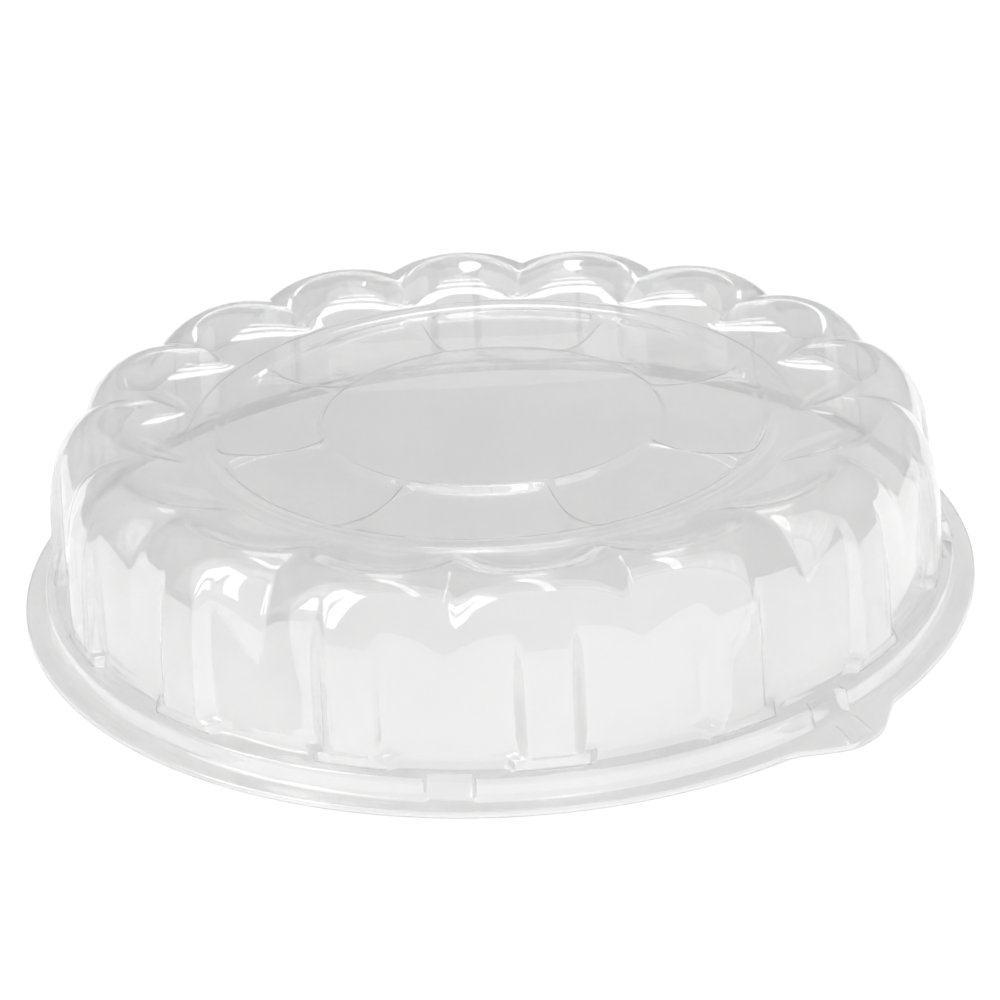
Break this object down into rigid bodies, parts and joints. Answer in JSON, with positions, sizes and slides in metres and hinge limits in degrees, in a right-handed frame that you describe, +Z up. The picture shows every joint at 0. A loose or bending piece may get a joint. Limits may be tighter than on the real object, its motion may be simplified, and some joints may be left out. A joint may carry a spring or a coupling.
{
  "type": "humidity dome tray",
  "caption": "Clear round thin-walled cover with a fluted wall, lobed shoulder, flat flange and pull tab, lifting off a shallow round base tray.",
  "frame": {"origin": "centre of the flat floor that the base tray rests on, at the level of that face", "axes": "+Z up along the cover's axis, the way the cover lifts off; the pull tab lies in the quadrant of +X and -Y"},
  "size_m": [0.46, 0.4599, 0.0883],
  "materials": {
    "clear_cover": "glossy clear thermoformed sheet plastic",
    "clear_tray": "glossy clear thermoformed sheet plastic"
  },
  "bodies": {
    "tray": {"base_tray": "clear_tray"},
    "cover": {"dome_cover": "clear_cover"}
  },
  "joints": [
    {"name": "cover_lift", "type": "slide", "parent": "tray", "child": "cover", "axis": [0, 0, 1], "range_m": [0, 0.12]}
  ]
}
